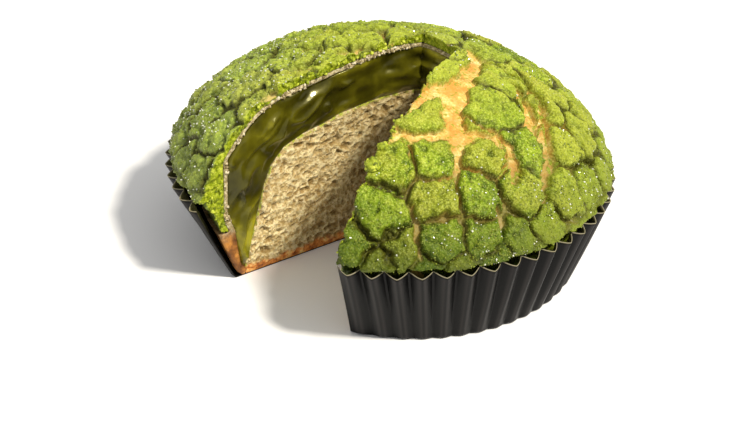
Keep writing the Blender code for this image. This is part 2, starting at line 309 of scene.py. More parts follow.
def domeLine(heights, inset):
    # radius and height pairs from the crown down the dome and then down the side that tucks in
    radii = np.where(heights > bun["sideBelow"], domeRadius(heights, inset), sideRadius(heights, inset))
    radii[0] = 0.0
    return np.stack([radii, heights], axis=-1)


def profileSheet(start, along, profile, split, sideRows, topRows, sink=0.0):
    # the grid of a profile, sunk by so much, slumped and leaned, with its ends in the cut
    radius, height = evenProfile(profile, split, sideRows)
    return snapToCuts(leanAndSlump(sheetOf(start, along, radius, height - sink, split, topRows)))


def innerSheet(inset, start, along, look, foot, most, extra=()):
    # a smooth sheet under the dome, held in to a widest radius, with optional profile points below its side
    heights = np.concatenate([np.linspace(bun["domeTop"] - inset, 33.0, 200), np.linspace(32.9, foot, 120)])
    line = np.minimum(domeLine(heights, inset), [most, np.inf])
    line = np.concatenate([line, np.array(extra).reshape(-1, 2)])
    return profileSheet(start, along, line, look["innerSplit"], look["sideRows"], look["topRows"])


def slab(top, bottom, across):
    # closed mesh on the surface of a rays x rows x across lattice between two grids: points, their places in
    # the lattice, and quads
    rays, rows = top.shape[:2]
    inside = np.zeros((rays, rows, across + 1), dtype=bool)
    inside[1:-1, 1:-1, 1:-1] = True
    number = np.full(inside.shape, -1, dtype=np.int64)
    number[~inside] = np.arange(np.count_nonzero(~inside))
    place = np.argwhere(~inside)
    share = place[:, 2:3] / across
    points = top[place[:, 0], place[:, 1]] * (1.0 - share) + bottom[place[:, 0], place[:, 1]] * share

    def faces(sheet, flip):
        a, b, c, d = sheet[:-1, :-1], sheet[1:, :-1], sheet[1:, 1:], sheet[:-1, 1:]
        quads = np.stack([a, b, c, d], axis=-1).reshape(-1, 4)
        return quads[:, ::-1] if flip else quads

    sides = (number[:, :, 0], number[:, :, -1], number[0], number[-1], number[:, 0], number[:, -1])
    quads = np.concatenate([faces(side, flip) for side, flip in zip(sides, (0, 1, 0, 1, 1, 0))])
    return points, place, turnedOut(points, quads)


def turnedOut(points, quads):
    # flips all faces if the mesh's signed volume is negative
    a, b, c, d = (points[quads[:, i]] for i in range(4))
    volume = np.sum(a * np.cross(b, c)) + np.sum(a * np.cross(c, d))
    return quads if volume > 0 else quads[:, ::-1]


def meshNormals(points, quads):
    # each corner's normal: the sum of the crossed diagonals of its faces
    face = np.cross(points[quads[:, 2]] - points[quads[:, 0]], points[quads[:, 3]] - points[quads[:, 1]])
    total = np.zeros_like(points)
    for corner in range(4):
        for axis in range(3):
            total[:, axis] += np.bincount(quads[:, corner], face[:, axis], len(points))
    return unit(total)


def cutShare(place, rays):
    # 1 on the three walls of the cut, 0 elsewhere
    return ((place[:, 0] == 0) | (place[:, 0] == rays - 1) | (place[:, 1] == 0)).astype(float)


def makeObject(name, points, quads, finish, attributes=None, smooth=True, normals=None):
    # puts arrays of points, faces and point values into a mesh object at the origin
    mesh = bpy.data.meshes.new(name)
    sides = quads.shape[1]
    mesh.vertices.add(len(points))
    mesh.vertices.foreach_set("co", (points * mm).astype(np.float32).ravel())
    mesh.loops.add(quads.size)
    mesh.loops.foreach_set("vertex_index", quads.astype(np.int32).ravel())
    mesh.polygons.add(len(quads))
    mesh.polygons.foreach_set("loop_start", np.arange(0, quads.size, sides, dtype=np.int32))
    mesh.polygons.foreach_set("use_smooth", np.full(len(quads), smooth))
    mesh.update(calc_edges=True)
    for key, values in (attributes or {}).items():
        layer = mesh.attributes.new(key, "FLOAT", "POINT")
        layer.data.foreach_set("value", values.astype(np.float32).ravel())
    if normals is not None:
        mesh.normals_split_custom_set_from_vertices(normals.astype(np.float32))
    mesh.materials.append(finish)
    made = bpy.data.objects.new(name, mesh)
    bpy.context.scene.collection.objects.link(made)
    print(name, len(quads) * (sides - 2), "triangles")
    return made


def fitted(piece, slotName, *nodes):
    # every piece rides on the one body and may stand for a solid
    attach(piece, "root")
    if nodes:
        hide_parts(*nodes)


def linear(colour):
    # screen values 0..255 to linear light
    c = np.array(colour) / 255.0
    return tuple(np.where(c <= 0.04045, c / 12.92, ((c + 0.055) / 1.055) ** 2.4))


class Finish:
    # adds nodes to one material and wires them
    def __init__(self, name):
        self.material = bpy.data.materials.new(name)
        self.material.use_nodes = True
        self.tree = self.material.node_tree
        self.shader = self.tree.nodes["Principled BSDF"]
        self.place = self.add("ShaderNodeTexCoord").outputs["Object"]

    def add(self, kind, **values):
        node = self.tree.nodes.new(kind)
        for key, value in values.items():
            if key.startswith("in_"):
                node.inputs[key[3:].replace("_", " ")].default_value = value
            else:
                setattr(node, key, value)
        return node

    def wire(self, source, target):
        self.tree.links.new(source, target)

    def finished(self, colour, normal, glow=None, **values):
        # wires colour and normal, and sets the shader's constants; glow is subsurface weight and radius
        self.wire(colour, self.shader.inputs["Base Color"])
        self.wire(normal, self.shader.inputs["Normal"])
        if glow:
            values.update(Subsurface_Weight=glow[0], Subsurface_Radius=glow[1], Subsurface_Scale=mm)
        for key, value in values.items():
            self.shader.inputs[key.replace("_", " ")].default_value = value
        return self.material

    def noise(self, size, detail=3.0, rough=0.55):
        scale = 1.0 / (size * mm)
        node = self.add("ShaderNodeTexNoise", in_Scale=scale, in_Detail=detail, in_Roughness=rough)
        self.wire(self.place, node.inputs["Vector"])
        return node.outputs["Fac"]

    def cells(self, size, place=None):
        node = self.add("ShaderNodeTexVoronoi", in_Scale=1.0 / (size * mm))
        self.wire(place or self.place, node.inputs["Vector"])
        return node.outputs["Distance"]

    def warped(self, size, amount):
        # the place pushed about by a noise of three channels, which bends the walls of cells
        noise = self.add("ShaderNodeTexNoise", in_Scale=1.0 / (size * mm), in_Detail=2.0)
        self.wire(self.place, noise.inputs["Vector"])
        push = self.add("ShaderNodeVectorMath", operation="MULTIPLY_ADD")
        push.inputs[1].default_value = (amount * mm,) * 3
        self.wire(noise.outputs["Color"], push.inputs[0])
        self.wire(self.place, push.inputs[2])
        return push.outputs["Vector"]

    def along(self, axis):
        # the place along one axis, in metres
        parts = self.add("ShaderNodeSeparateXYZ")
        self.wire(self.place, parts.inputs[0])
        return parts.outputs[axis]

    def attribute(self, name):
        return self.add("ShaderNodeAttribute", attribute_name=name).outputs["Fac"]

    def ramp(self, source, *stops):
        node = self.add("ShaderNodeValToRGB")
        ramp = node.color_ramp
        while len(ramp.elements) < len(stops):
            ramp.elements.new(0.5)
        for element, (position, colour) in zip(ramp.elements, stops):
            element.position = position
            element.color = (*linear(colour), 1.0)
        self.wire(source, node.inputs["Fac"])
        return node.outputs["Color"]

    def remap(self, source, low, high, toLow=0.0, toHigh=1.0):
        node = self.add("ShaderNodeMapRange", clamp=True)
        for key, value in (("From Min", low), ("From Max", high), ("To Min", toLow), ("To Max", toHigh)):
            node.inputs[key].default_value = value
        self.wire(source, node.inputs["Value"])
        return node.outputs["Result"]

    def take(self, socket, value):
        # a number or a colour is set on the socket, anything else is wired to it
        if isinstance(value, (int, float)):
            socket.default_value = value
        elif isinstance(value, tuple):
            socket.default_value = (*linear(value), 1.0)
        else:
            self.wire(value, socket)

    def maths(self, operation, a, b):
        node = self.add("ShaderNodeMath", operation=operation)
        self.take(node.inputs[0], a)
        self.take(node.inputs[1], b)
        return node.outputs["Value"]

    def times(self, a, b):
        return self.maths("MULTIPLY", a, b)

    def weighed(self, *pairs):
        # sum of values times their weights
        total = None
        for source, weight in pairs:
            part = self.times(source, weight)
            total = part if total is None else self.maths("ADD", total, part)
        return total

    def mix(self, factor, a, b):
        node = self.add("ShaderNodeMix", data_type="RGBA")
        # the mix node carries one set of sockets per data type, so the colour pair is found by its kind
        sockets = [socket for socket in node.inputs if socket.type == "RGBA"]
        for socket, value in zip((node.inputs[0], *sockets), (factor, a, b)):
            self.take(socket, value)
        return next(socket for socket in node.outputs if socket.type == "RGBA")

    def coats(self, colour, *rows):
        # lays colours over one another; a row has a value, its two limits, the cover at each and the colour
        for source, low, high, least, most, coat in rows:
            colour = self.mix(self.remap(source, low, high, least, most), colour, coat)
        return colour

    def bump(self, height, strength, distance, below=None):
        node = self.add("ShaderNodeBump", in_Strength=strength, in_Distance=distance * mm)
        self.wire(height, node.inputs["Height"])
        if below is not None:
            self.wire(below, node.inputs["Normal"])
        return node.outputs["Normal"]


crustLook = {
    "shownPlates": (
        (16.5, 22.4), (57.4, 25.8), (87.6, 24.1), (82.4, 12.5), (15.3, 32.5), (36.1, 34.0), (54.0, 36.5),
        (1.6, 34.0), (80.3, 33.0), (97.0, 34.5), (70.0, 39.7), (27.8, 40.9), (14.1, 40.6), (41.1, 42.7),
        (56.0, 45.4), (-1.6, 42.6), (84.0, 42.5), (97.0, 43.0), (14.4, 46.9), (25.6, 47.3), (36.0, 47.9),
        (46.5, 48.0), (3.2, 47.9), (-7.7, 47.9), (68.0, 47.4), (79.0, 48.2), (90.0, 48.2), (101.0, 48.2),
    ),
    "shownFrom": -14.0,
    "shownTo": 104.0,
    "rows": (
        (12.5, 5, 82.0), (24.5, 10, 16.5), (35.0, 19, 15.3),
        (42.0, 27, 1.0), (47.2, 33, 3.2), (50.3, 33, 8.6),
    ),
    "plain": 26,  # how many cells without a plate lie in a ring under the side
    "seed": 7,
    "relief": 2.15,
    "groove": 0.26,
    "bevel": 1.55,
    "rays": 900,
    "front": {"share": 0.44, "degrees": 115.0},
    "topRows": 156,
    "sideRows": 84,
    "split": 44.0,
    "innerSplit": 40.9,
    "across": 8,
    "sectors": 5,
    "seam": {"plate": 1.0, "golden": 0.0, "high": 0.7, "own": 0.4, "groove": 0.0, "cutFace": 1.0},
    "lumps": ((3.8, 1.1, 31), (1.9, 0.74, 35), (0.95, 0.38, 41)),  # size, height, seed
    "sunk": 0.35,
    "openMiddle": (16.0, -15.0),  # where in plan the bread shows in the grooves, and how far round it
    "openReach": 20.0,
    "ragged": 0.75,
    "cutReach": 2.6,
}

# Wide golden cracks: plan lines in millimetres with the half width at each point
goldenCracks = (
    (
        (16.2, 9.2, 0.8), (17.6, 1.4, 1.8), (15.9, -5.9, 2.1), (13.1, -10.9, 2.3), (12.3, -15.7, 2.6),
        (12.4, -19.2, 2.3), (13.1, -22.9, 2.1), (13.2, -26.6, 1.6), (13.6, -29.2, 1.0), (13.9, -31.9, 0.7),
        (13.6, -35.0, 0.4),
    ),
    (
        (16.2, 9.2, 0.8), (19.2, 5.0, 1.3), (22.6, 4.2, 0.8), (26.6, 2.5, 0.7), (29.9, -0.7, 0.7),
        (32.6, -4.4, 0.7), (33.3, -11.6, 0.8), (33.9, -18.4, 0.9), (33.3, -23.7, 0.9), (32.6, -26.8, 0.8),
        (32.9, -29.7, 0.5),
    ),
    ((26.9, -2.8, 0.8), (28.7, -7.0, 1.3), (30.2, -11.0, 1.3), (31.2, -15.7, 0.9), (32.8, -17.4, 0.5)),
    ((12.2, -11.3, 2.1), (7.4, -12.9, 1.8), (4.1, -16.6, 1.8), (1.7, -20.6, 1.0), (0.5, -22.4, 0.5)),
    (
        (-2.3, -28.2, 0.8), (0.0, -27.4, 1.0), (3.7, -27.0, 0.9), (7.4, -26.4, 0.9), (10.9, -25.3, 1.6),
        (13.2, -24.9, 2.3), (16.1, -24.0, 1.3), (19.3, -23.0, 1.0), (22.5, -22.0, 0.8), (25.1, -21.7, 1.0),
        (26.2, -24.7, 0.9), (26.7, -27.8, 0.9), (26.3, -30.1, 0.7),
    ),
    ((5.0, -41.0, 0.4), (5.8, -43.5, 0.8), (6.4, -45.8, 0.8), (7.0, -47.1, 0.5)),
    ((22.7, -36.4, 0.3), (23.5, -38.4, 0.7), (23.8, -40.0, 0.4)),
    ((-23.6, -7.2, 0.9), (-21.1, -5.9, 1.5), (-18.0, -4.8, 0.9)),
    ((-28.6, -16.9, 0.8), (-27.6, -15.8, 1.4), (-26.3, -14.4, 1.1)),
    ((-7.8, 13.2, 0.9), (-5.1, 12.6, 1.5), (-2.9, 10.8, 0.9)),
    ((-12.3, 0.0, 0.8), (-10.4, 1.0, 1.2), (-8.5, 2.1, 0.8)),
    ((-1.2, 2.6, 0.9), (0.3, 4.6, 1.3), (1.4, 5.4, 0.8)),
    ((-19.9, 6.5, 0.8), (-18.6, 5.6, 1.3), (-16.8, 4.0, 0.8)),
)


def plateDirections():
    # unit vectors from the waist's middle to the plates, in the same seeded rows as on the solid, and to the
    # ring of plain cells below them
    look = crustLook
    rng = random.Random(look["seed"])
    spots = [(radius, azimuth) for azimuth, radius in look["shownPlates"]]
    for radius, count, first in look["rows"]:
        for index in range(count):
            azimuth = first + (index + rng.uniform(-0.2, 0.2)) * 360 / count
            away = min(radius + rng.uniform(-1.2, 1.2), bun["domeRadius"] - 0.1)
            shown = look["shownFrom"] < (azimuth + 90) % 360 - 90 < look["shownTo"]
            if not (shown and radius < bun["rimRadius"]):
                spots.append((away, azimuth))
    radius, azimuth = np.array(spots).T

    def directions(radius, azimuth, up):
        turn = np.radians(azimuth)
        return unit(np.stack([radius * np.sin(turn), -radius * np.cos(turn), up], axis=-1))

    count = look["plain"]
    plain = directions(bun["domeRadius"], np.arange(count) * 360 / count, np.full(count, -10.0))
    return directions(radius, azimuth, domeHeight(radius, 0.0) - bun["waist"]), plain


def borderDistance(points, plates, plain):
    # millimetres from each point to the border of its plate's cell, with softened corners, and the number of
    # the plate
    every = np.concatenate([plates, plain])
    offset = points - np.array([0.0, 0.0, bun["waist"]])
    far = np.linalg.norm(offset, axis=-1)
    flat = (offset / far[..., None]).reshape(-1, 3)
    closeness = flat @ every.T
    own = np.argmax(closeness, axis=1)
    best = np.take_along_axis(closeness, own[:, None], axis=1)
    apart = np.linalg.norm(every[own][:, None, :] - every[None, :, :], axis=-1)
    gap = (best - closeness) / np.maximum(apart, 1e-6)
    np.put_along_axis(gap, own[:, None], 9.0, axis=1)
    nearest = np.partition(gap, 1, axis=1)[:, :2]
    soft = nearest[:, 0] * nearest[:, 1] / np.hypot(nearest[:, 0], nearest[:, 1])
    edge = 0.45 * nearest[:, 0] + 0.55 * np.minimum(soft * 1.25, nearest[:, 0])
    return (edge * far.ravel()).reshape(far.shape), own.reshape(far.shape)


def crackDistance(points):
    # millimetres from each plan point to the edge of the nearest golden crack, negative inside it
    plan = points[..., :2]
    nearest = np.full(plan.shape[:-1], 99.0)
    for line in goldenCracks:
        for (ax, ay, aw), (bx, by, bw) in zip(line, line[1:]):
            a, step = np.array([ax, ay]), np.array([bx - ax, by - ay])
            t = np.clip((plan - a) @ step / (step @ step), 0.0, 1.0)
            away = np.linalg.norm(plan - a - t[..., None] * step, axis=-1) - (aw + (bw - aw) * t)
            nearest = np.minimum(nearest, away)
    return nearest


def crustTop(start, along):
    # outer face of the crust: the dome less the relief, then plates raised with a quarter-round edge and
    # three sizes of rounded lumps along the normal
    look = crustLook
    top = bun["domeTop"]
    upper, lower = np.linspace(top - 0.01, 33.0, 300), np.linspace(32.9, bun["crustFoot"], 220)
    heights = np.concatenate([[top], upper, lower])
    radius, height = evenProfile(domeLine(heights, 0.0), look["split"], look["sideRows"])
    base = sheetOf(start, along, radius, height, look["split"], look["topRows"])
    plan, level = base[..., :2], base[..., 2]

    broad, fine = wander(base, 5.0, 3, 3), wander(base, 2.0, 13, 2)
    edge, own = borderDistance(base + 1.6 * broad + 1.1 * fine, *plateDirections())
    crack = crackDistance(base + 0.9 * broad + 1.1 * fine)
    # some plates have grown together, most of them on the left
    closed = smoothStep(-0.1, 0.45, softNoise(base, 8.0, 77) + 0.45 * smoothStep(-6.0, -24.0, base[..., 0]))
    grooveHalf = look["groove"] * (1.0 - 0.7 * closed) + 0.25 * np.abs(softNoise(base, 3.5, 78))
    inside = np.minimum(edge - grooveHalf, crack)
    bevel = look["bevel"] * (1.0 + 0.35 * softNoise(base, 3.0, 79))
    t = np.clip(inside / bevel, 0.0, 1.0)
    plate = np.sqrt(1.0 - (1.0 - t) ** 2)

    warped = base + 0.35 * fine
    lumps, high = np.zeros(level.shape), np.zeros(level.shape)
    for size, amount, seed in look["lumps"]:
        near, _, tag = cellNoise(warped, size, seed)
        lump = np.sqrt(np.maximum(1.0 - (near / 0.88) ** 2, 0.0))
        lumps += amount * (0.75 + 0.5 * tag) * (lump - 0.8)
        # high, the lumps' mean height, also drives the finish's painted light and shade: lump tops lighter,
        # hollows between lumps darker
        high += amount * lump
    high = high / sum(amount for _, amount, _ in look["lumps"])
    onPlate = smoothStep(0.1, 0.75, plate)
    plateLift = hashCells(np.stack([own, own * 3 + 1, own * 7 + 2], axis=-1), 9)
    lowEdge = smoothStep(21.0, 25.0, level)  # the plates meet in one edge over the case's rim
    depth = look["relief"] * (1.0 - 0.45 * closed * smoothStep(0.0, 1.0, crack)) * (0.3 + 0.7 * lowEdge)
    lumps *= 0.85 + 0.65 * smoothStep(5.0, -20.0, base[..., 0])  # the left side is crumblier
    swell = 0.5 * (plateLift - 0.5) + 0.3 * layeredNoise(base, 6.0, 21, 2)
    out = -depth * (1.0 - plate) + onPlate * (lumps + swell) - look["sunk"] * smoothStep(30.0, 44.0, level)
    out += (1.0 - onPlate) * 0.24 * layeredNoise(base, 2.4, 51, 4, 0.6)
    out *= 0.3 + 0.7 * smoothStep(4.0, 9.0, np.linalg.norm(plan - endMiddle, axis=-1))
    shown = smoothStep(17.0, 20.0, level)  # flat against the case below its rim
    out = out * shown - 0.7 * (1.0 - shown)
    grid = leanAndSlump(base + outwardNormals(base) * out[..., None])

    openShare = np.exp(-((np.linalg.norm(plan - look["openMiddle"], axis=-1) / look["openReach"]) ** 2))
    opened = smoothStep(0.05, 0.5, openShare + 0.3 * softNoise(base, 7.0, 80))
    bare = smoothStep(0.35, 0.0, inside) * (1.0 - closed) * opened
    golden = np.maximum(smoothStep(0.12, -0.14, crack), 0.85 * bare)
    # groove marks the narrow grooves between plates, which the finish paints dark: painted shade
    groove = smoothStep(0.5, 0.05, t) * smoothStep(0.4, 2.0, crack) * (1.0 - 0.8 * bare)
    groove = groove * (0.2 + 0.8 * lowEdge)
    marks = {"plate": plate, "golden": golden, "high": high, "own": plateLift, "groove": groove}
    return snapToCuts(grid, look["cutReach"], look["ragged"]), marks


def crustFinish():
    f = Finish("sugarCookie")
    keys = ("plate", "golden", "high", "own", "cutFace", "groove")
    plate, golden, high, own, cutFace, groove = (f.attribute(key) for key in keys)
    broad, middle, fine = f.noise(8.0, 3.0), f.noise(2.0, 3.0), f.noise(0.5, 2.0, 0.5)
    x, z, grain = f.along("X"), f.along("Z"), f.cells(0.42)
    # the lumps' height and the plates' bevel lift the tone, so lump tops and plate middles are painted
    # lighter and plate edges darker: painted light and shade
    tone = f.weighed((broad, 0.30), (middle, 0.20), (high, 0.26), (own, 0.08), (plate, 0.16))
    leaf = ((0.50, (63, 84, 0)), (0.58, (96, 120, 1)), (0.65, (127, 151, 8)), (0.74, (158, 172, 46)))
    toasted = f.weighed((own, 0.35), (high, 0.25), (f.noise(5.0, 3.0), 0.4))
    body = f.coats(
        f.ramp(tone, *leaf),
        (toasted, 0.54, 0.70, 0.0, 0.4, (142, 126, 34)),
        # painted shade: the low ground between the lumps darker, where shade falls
        (high, 0.62, 0.42, 0.0, 0.5, (46, 60, 0)),
        (fine, 0.36, 0.46, 0.3, 0.0, (44, 52, 0)),
        (fine, 0.53, 0.64, 0.0, 0.3, (206, 214, 96)),
        # painted highlight on the middles of the fine grains and painted shade in the gaps between them
        (grain, 0.18, 0.34, 0.4, 0.0, (212, 220, 120)),
        (grain, 0.60, 0.80, 0.0, 0.4, (48, 58, 0)),
        # painted shade: the crust darker lower down its side, away from the light above
        (z, 0.022, 0.036, 0.8, 0.0, (50, 65, 2)),
        # painted light: the crust lighter at the top
        (z, 0.038, 0.046, 0.0, 0.3, (206, 204, 76)),
        # painted light: the right side lighter, towards the sun
        (x, 0.024, 0.040, 0.0, 0.25, (184, 194, 58)),
        # painted light: the left side paler, as lit by the white sky in shade
        (x, -0.034, -0.014, 0.26, 0.0, (188, 200, 112)),
    )
    # painted shade: the narrow grooves between the plates darker, where shade falls
    body = f.mix(groove, body, f.ramp(fine, (0.3, (42, 44, 0)), (0.7, (88, 88, 18))))
    torn = f.ramp(f.noise(0.9, 4.0, 0.7), (0.34, (86, 98, 0)), (0.5, (134, 148, 8)), (0.66, (190, 196, 66)))
    body = f.mix(cutFace, body, torn)
    tone = f.weighed((f.noise(2.6, 5.0, 0.65), 0.6), (f.noise(0.5, 3.0), 0.4))
    baked = ((0.36, (178, 126, 46)), (0.46, (210, 166, 80)), (0.55, (230, 198, 114)), (0.66, (246, 230, 168)))
    skin = f.coats(
        f.ramp(tone, *baked),
        (f.noise(5.0, 3.0), 0.48, 0.62, 0.0, 0.75, (204, 142, 60)),
        (f.noise(1.1, 4.0), 0.57, 0.62, 0.0, 0.85, (146, 148, 40)),
        # painted shade: the golden skin in the cracks darker lower down, where the narrow cracks lie in shade
        (z, 0.028, 0.040, 0.8, 0.0, (116, 108, 50)),
        (x, -0.012, 0.002, 0.7, 0.0, (206, 188, 112)),
    )
    grainy = f.maths("SUBTRACT", 1.0, f.times(golden, 0.75))
    normal = f.bump(f.times(f.cells(1.0, f.warped(1.2, 0.4)), grainy), 0.8, -0.36)
    normal = f.bump(f.times(grain, grainy), 0.7, -0.18, normal)
    f.wire(f.remap(f.noise(0.3, 2.0), 0.35, 0.7, 0.38, 0.8), f.shader.inputs["Roughness"])
    return f.finished(f.mix(golden, body, skin), normal, (0.15, (0.7, 0.8, 0.1)), Specular_IOR_Level=0.22)


def makeCrust():
    # the shell between the crackled face and a smooth inner sheet, shared out in sectors, each closed
    look = crustLook
    start, along, azimuth = rayFan(look["rays"], look["front"])
    top, marks = crustTop(start, along)
    most = bun["creamRadius"] + bun["skinThick"] + 0.15
    under = innerSheet(bun["crustThick"] - 0.15, start, along, look, bun["crustFoot"], most)
    points, place, quads = slab(top, under, look["across"])
    onCut = cutShare(place, look["rays"]) * (place[:, 2] > 0)
    layers = {key: values[place[:, 0], place[:, 1]] for key, values in marks.items()}
    layers["cutFace"] = onCut
    for key in ("golden", "groove"):
        layers[key] *= 1.0 - onCut
    layers["plate"] = np.maximum(layers["plate"], onCut)
    normals = meshNormals(points, quads)
    fromEnd = np.linalg.norm(points[:, :2] - endMiddle, axis=1)
    torn = (0.75 * layeredNoise(points, 1.7, 61, 3, 0.7) + 0.1) * smoothStep(6.0, 11.0, fromEnd)
    points = points + normals * (onCut * (place[:, 2] < look["across"]) * torn)[:, None]
    shared = meshNormals(points, quads)
    number = np.full((look["rays"], top.shape[1], look["across"] + 1), -1, dtype=np.int64)
    number[place[:, 0], place[:, 1], place[:, 2]] = np.arange(len(points))
    finish = crustFinish()
    edges = np.linspace(0, look["rays"] - 1, look["sectors"] + 1).astype(int)
    for index, (a, b) in enumerate(zip(edges, edges[1:])):
        sectorPoints, sectorPlace, sectorQuads = slab(top[a : b + 1], under[a : b + 1], look["across"])
        match = number[sectorPlace[:, 0] + a, sectorPlace[:, 1], sectorPlace[:, 2]]
        known = match >= 0
        sectorPoints[known] = points[match[known]]
        own = meshNormals(sectorPoints, sectorQuads)
        own[known] = shared[match[known]]
        inner = np.maximum(match, 0)
        values = {key: np.where(known, layer[inner], look["seam"][key]) for key, layer in layers.items()}
        name = f"crust_sector_{index + 1}"
        piece = makeObject(name, sectorPoints, sectorQuads, finish, values, normals=own)
        fitted(piece, "crust", "cookie_crust")
    return top, under, marks, azimuth


crustGrid, crustUnder, crustMarks, crustAzimuth = makeCrust()


skinLook = {"rays": 170, "topRows": 150, "sideRows": 80, "innerSplit": 41.0, "across": 5}


def skinFinish():
    f = Finish("bakedSkin")
    brown = f.ramp(f.noise(3.0, 4.0, 0.6), (0.34, (84, 46, 10)), (0.5, (136, 84, 28)), (0.64, (196, 132, 54)))
    crumbs = ((0.32, (112, 98, 58)), (0.48, (168, 152, 108)), (0.66, (218, 206, 170)))
    pale = f.ramp(f.noise(0.7, 4.0, 0.7), *crumbs)
    torn = f.maths("MAXIMUM", f.attribute("torn"), f.remap(f.along("Z"), 0.0112, 0.0135))
    normal = f.bump(f.noise(0.6, 5.0, 0.7), 0.8, 0.35)
    return f.finished(f.mix(torn, brown, pale), normal, (0.12, (0.9, 0.6, 0.3)), Roughness=0.7)


def makeBreadSkin():
    # the thin bread between crust and cream, and the browned side down to the base, torn a little at the cut
    look = skinLook
    start, along, _ = rayFan(look["rays"])
    foot = bun["crustFoot"] - 0.3
    room = roomRadius(np.array([foot, 6.0, 1.6]))
    wall = [(room[0], foot - 0.1), (room[1], 6.0), (room[2], 1.6), (room[2] - 1.4, 0.3)]
    inset, thick, most = bun["crustThick"], bun["skinThick"], bun["creamRadius"]
    top = innerSheet(inset, start, along, look, foot, most + thick, wall)
    deep = [(39.6, 12.2), (38.9, 8.0), (38.0, 3.6), (36.6, 1.2)]
    under = innerSheet(inset + thick, start, along, look, bun["creamFoot"], most, deep)
    points, place, quads = slab(top, under, look["across"])
    onCut = cutShare(place, look["rays"])
    middle = onCut * (place[:, 2] > 0) * (place[:, 2] < look["across"])
    torn = 0.1 + 0.45 * layeredNoise(points, 0.9, 71, 2)
    points = points + meshNormals(points, quads) * (middle * torn)[:, None]
    pale = onCut * smoothStep(9.5, 14.5, points[:, 2] + 1.5 * layeredNoise(points, 2.5, 73, 2))
    fitted(makeObject("bread_skin", points, quads, skinFinish(), {"torn": pale}), "bread", "bread")
    return top, under


skinTop, skinUnder = makeBreadSkin()


crumbLook = {
    "rays": 66,
    "topRows": 126,
    "sideRows": 44,
    "split": 30.0,
    "across": 128,
    "profile": (
        (0.0, 34.0), (12.0, 32.6), (21.5, 29.2), (26.7, 26.1), (30.1, 22.8), (31.9, 19.4), (33.6, 14.0),
        (35.3, 8.6), (36.8, 2.4),
    ),
    "pores": ((2.7, 91, 0.8, 0.45), (1.5, 92, 0.42, 0.75), (0.9, 93, 0.2, 1.0)),  # size, seed, depth, share
    "floor": 0.3,
}


def crumbFinish():
    f = Finish("openCrumb")
    pore, bottom, stain = f.attribute("pore"), f.attribute("bottom"), f.attribute("stain")
    drift = f.warped(1.3, 1.1)
    cells = f.weighed((f.cells(1.3, drift), 0.42), (f.cells(0.6, drift), 0.33))
    spongy = f.maths("ADD", cells, f.times(f.noise(0.45, 3.0, 0.7), 0.25))
    web = f.remap(spongy, 0.42, 0.62)  # 0 inside the cells, 1 on the torn walls between them
    tone = f.weighed((f.noise(0.7, 4.0, 0.7), 0.5), (f.noise(6.0, 2.0), 0.5))
    inCell = f.ramp(tone, (0.38, (160, 130, 74)), (0.5, (186, 158, 98)), (0.62, (214, 190, 134)))
    # the torn walls are painted near-white as lit crumb walls, painted highlight, and the cells and deep
    # pores darker, painted shade
    poreShade = f.remap(pore, 0.25, 0.9)
    wall = f.times(f.times(web, 0.7), f.maths("SUBTRACT", 1.0, f.times(poreShade, 0.7)))
    body = f.mix(wall, f.mix(f.times(poreShade, 0.8), inCell, (146, 116, 58)), (248, 232, 180))
    # painted shade: darker towards the end wall, in the shade cast by the bun's right part
    body = f.coats(body, (f.along("X"), -0.022, 0.002, 0.0, 0.45, (114, 92, 38)))
    baked = f.ramp(f.noise(1.8, 4.0), (0.34, (164, 92, 32)), (0.5, (228, 146, 66)), (0.64, (250, 206, 126)))
    body = f.mix(bottom, body, baked)
    body = f.mix(f.times(stain, f.remap(f.noise(1.2, 3.0), 0.40, 0.52)), body, (166, 172, 52))
    normal = f.bump(f.remap(spongy, 0.30, 0.66), 0.8, 0.34)
    normal = f.bump(f.noise(0.35, 4.0, 0.7), 0.4, 0.10, normal)
    return f.finished(body, normal, (0.2, (1.0, 0.7, 0.4)), Roughness=0.8)


def makeCrumb():
    # the loaf under the cream; pores on the cut walls are cells pressed in up to a thin web between them
    look = crumbLook
    start, along, _ = rayFan(look["rays"])
    top = profileSheet(start, along, look["profile"], look["split"], look["sideRows"], look["topRows"])
    shift = lean(top * [0.0, 0.0, 1.0])[..., :2]
    level = np.array([[[0.0, 0.0, look["floor"]]]])
    plan = top[..., :2] - shift + lean(level)[..., :2]
    bottom = snapToCuts(np.concatenate([plan, np.full(plan.shape[:2] + (1,), look["floor"])], axis=-1))
    points, place, quads = slab(top, bottom, look["across"])
    onCut = cutShare(place, look["rays"])
    depth = place[:, 2] / look["across"]
    tall = np.linalg.norm(top[place[:, 0], place[:, 1]] - bottom[place[:, 0], place[:, 1]], axis=-1)
    belowTop, aboveBase = depth * tall, (1.0 - depth) * tall
    drift = (points + 0.75 * wander(points, 2.4, 81, 2)) * [1.0, 1.0, 1.45]
    pore, push = np.zeros(len(points)), np.zeros(len(points))
    for size, seed, deep, share in look["pores"]:
        near, second, tag = cellNoise(drift, size, seed)
        hole = smoothStep(0.04, 0.42, second - near) * (tag < share) * (0.55 + 0.45 * tag / share)
        push -= deep * hole
        pore = np.maximum(pore, hole * (0.4 + deep))
    fade = smoothStep(0.0, 0.6, belowTop) * smoothStep(0.2, 1.2, aboveBase) * onCut
    push = (push + 0.35 + 0.25 * layeredNoise(points, 4.0, 95, 3)) * fade
    points = points + meshNormals(points, quads) * push[:, None]
    browned = smoothStep(2.4, 1.3, aboveBase + 0.8 * layeredNoise(points, 2.4, 97, 3))
    # pore also sets the painted shade in the pores
    marks = {"pore": pore * fade, "bottom": browned, "stain": smoothStep(0.8, 0.2, belowTop) * onCut}
    fitted(makeObject("crumb", points, quads, crumbFinish(), marks), "bread", "bread")


makeCrumb()


